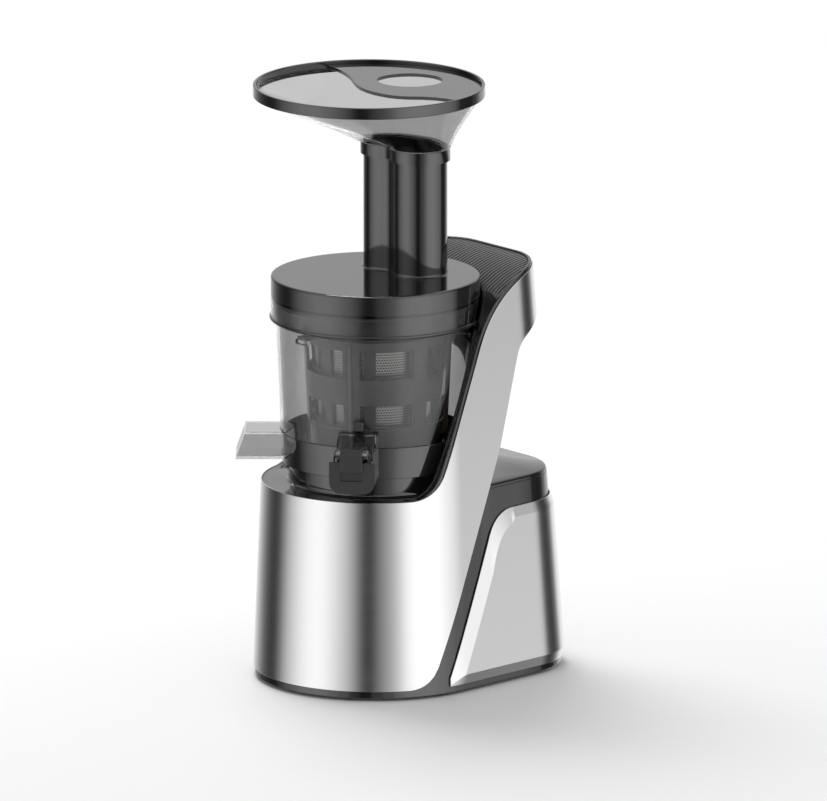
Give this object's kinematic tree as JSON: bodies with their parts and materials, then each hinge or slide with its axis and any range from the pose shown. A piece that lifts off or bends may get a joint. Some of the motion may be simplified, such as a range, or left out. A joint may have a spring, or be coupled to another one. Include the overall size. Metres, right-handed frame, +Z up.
{
  "type": "cold press juicer",
  "caption": "Upright slow juicer with a steel clad base, a forked column, a clear bowl with spout and chute, and a wide hopper on a feed tube.",
  "frame": {"origin": "on the floor under the axis of the drive shaft", "axes": "+Z up along the drive axis, -Y towards the front of the machine, +X towards the side with the juice spout"},
  "size_m": [0.174, 0.2282, 0.424],
  "materials": {
    "black_gloss": "glossy black moulding",
    "black_matte": "fine matt black",
    "dark_gloss": "glossy smoky black",
    "steel": "brushed",
    "clear": "clear",
    "smoky_clear": "smoky clear",
    "rubber_black": "soft matt",
    "silicone_grey": "soft translucent",
    "grey_plastic": "fine texture",
    "nylon": "satin ivory",
    "turned_steel": "turned",
    "mesh_steel": "etched mesh",
    "cast_alloy": "die cast",
    "laminations": "laminated",
    "copper_wire": "enamelled copper",
    "board": "green board",
    "blue_can": "sleeve"
  },
  "bodies": {
    "base": {"base_plate": "black_matte", "rubber_feet": "rubber_black", "base_screws": "turned_steel", "main_housing": "black_gloss", "cradle_liner": "black_gloss", "front_steel_shell": "steel", "rear_steel_shell": "steel", "rear_top_cover": "black_gloss", "column_rib_cap": "black_matte", "cord_gland": "black_matte", "switch_bezel": "black_matte", "motor_can": "turned_steel", "motor_stator": "laminations", "motor_windings": "copper_wire", "motor_bearings": "turned_steel", "motor_damper": "rubber_black", "gearbox_tray": "cast_alloy", "gearbox_cover": "cast_alloy", "gearbox_screws": "turned_steel", "gear_pins": "turned_steel", "output_bearing": "turned_steel", "shaft_seal": "rubber_black", "control_board": "board", "capacitor": "blue_can", "lid_sensor": "black_matte"},
    "rocker": {"rocker_switch": "black_matte"},
    "rotor": {"motor_shaft": "turned_steel", "rotor_core": "laminations", "cooling_fan": "black_matte"},
    "first": {"first_gear": "nylon"},
    "second": {"second_gear": "nylon"},
    "output": {"output_gear": "nylon", "drive_shaft": "turned_steel"},
    "bowl": {"juicing_bowl": "clear", "bowl_base": "dark_gloss", "juice_spout": "clear", "pulp_chute": "clear", "spout_catch": "black_gloss", "bowl_seal": "silicone_grey", "pulp_plug": "silicone_grey", "idler_pin": "turned_steel", "strainer_frame": "grey_plastic", "strainer_mesh": "mesh_steel", "cap_hinge_pin": "turned_steel"},
    "idler": {"brush_idler": "nylon"},
    "brush": {"brush_frame": "grey_plastic", "brush_wipers": "silicone_grey"},
    "screw": {"auger": "dark_gloss"},
    "cap": {"juice_cap": "black_gloss", "cap_seal": "silicone_grey"},
    "lid": {"lid": "smoky_clear", "lid_seal": "silicone_grey", "lid_magnet": "turned_steel", "auger_bush": "silicone_grey"},
    "hopper": {"hopper": "clear", "hopper_rim": "black_gloss"},
    "cover": {"hopper_cover": "smoky_clear"}
  },
  "joints": [
    {"name": "drive", "type": "hinge", "parent": "base", "child": "output", "pos_m": [0, 0, 0.1], "axis": [0, 0, 1], "continuous": true},
    {"name": "second_turn", "type": "hinge", "parent": "base", "child": "second", "pos_m": [0, 0.04, 0.1], "axis": [0, 0, 1], "continuous": true},
    {"name": "first_turn", "type": "hinge", "parent": "base", "child": "first", "pos_m": [0, 0.064, 0.11], "axis": [0, 0, 1], "continuous": true},
    {"name": "rotor_turn", "type": "hinge", "parent": "base", "child": "rotor", "pos_m": [0, 0.088, 0.06], "axis": [0, 0, 1], "continuous": true},
    {"name": "rocker_tilt", "type": "hinge", "parent": "base", "child": "rocker", "pos_m": [0, 0.12854, 0.07], "axis": [-1, 0, 0], "range_deg": [0, 16]},
    {"name": "bowl_lift", "type": "slide", "parent": "base", "child": "bowl", "axis": [0, 0, 1], "range_m": [0, 0.06]},
    {"name": "screw_turn", "type": "hinge", "parent": "bowl", "child": "screw", "pos_m": [0, 0, 0.17], "axis": [0, 0, 1], "continuous": true},
    {"name": "idler_turn", "type": "hinge", "parent": "bowl", "child": "idler", "pos_m": [0, 0.029, 0.162], "axis": [0, 0, 1], "continuous": true},
    {"name": "brush_turn", "type": "hinge", "parent": "bowl", "child": "brush", "pos_m": [0, 0, 0.17], "axis": [0, 0, 1], "continuous": true},
    {"name": "cap_swing", "type": "hinge", "parent": "bowl", "child": "cap", "pos_m": [0.06081, -0.07247, 0.1794], "axis": [-0.766, -0.6428, 0], "range_deg": [0, 100]},
    {"name": "lid_lift", "type": "slide", "parent": "bowl", "child": "lid", "axis": [0, 0, 1], "range_m": [0, 0.12]},
    {"name": "hopper_lift", "type": "slide", "parent": "lid", "child": "hopper", "axis": [0, 0, 1], "range_m": [0, 0.06]},
    {"name": "cover_lift", "type": "slide", "parent": "hopper", "child": "cover", "axis": [0, 0, 1], "range_m": [0, 0.04]}
  ],
  "couplings": [
    {"joint": "second_turn", "follows": "drive", "ratio": -3},
    {"joint": "first_turn", "follows": "drive", "ratio": 9},
    {"joint": "rotor_turn", "follows": "drive", "ratio": -27},
    {"joint": "screw_turn", "follows": "drive", "ratio": 1},
    {"joint": "idler_turn", "follows": "drive", "ratio": -1.6364},
    {"joint": "brush_turn", "follows": "drive", "ratio": -0.45}
  ]
}
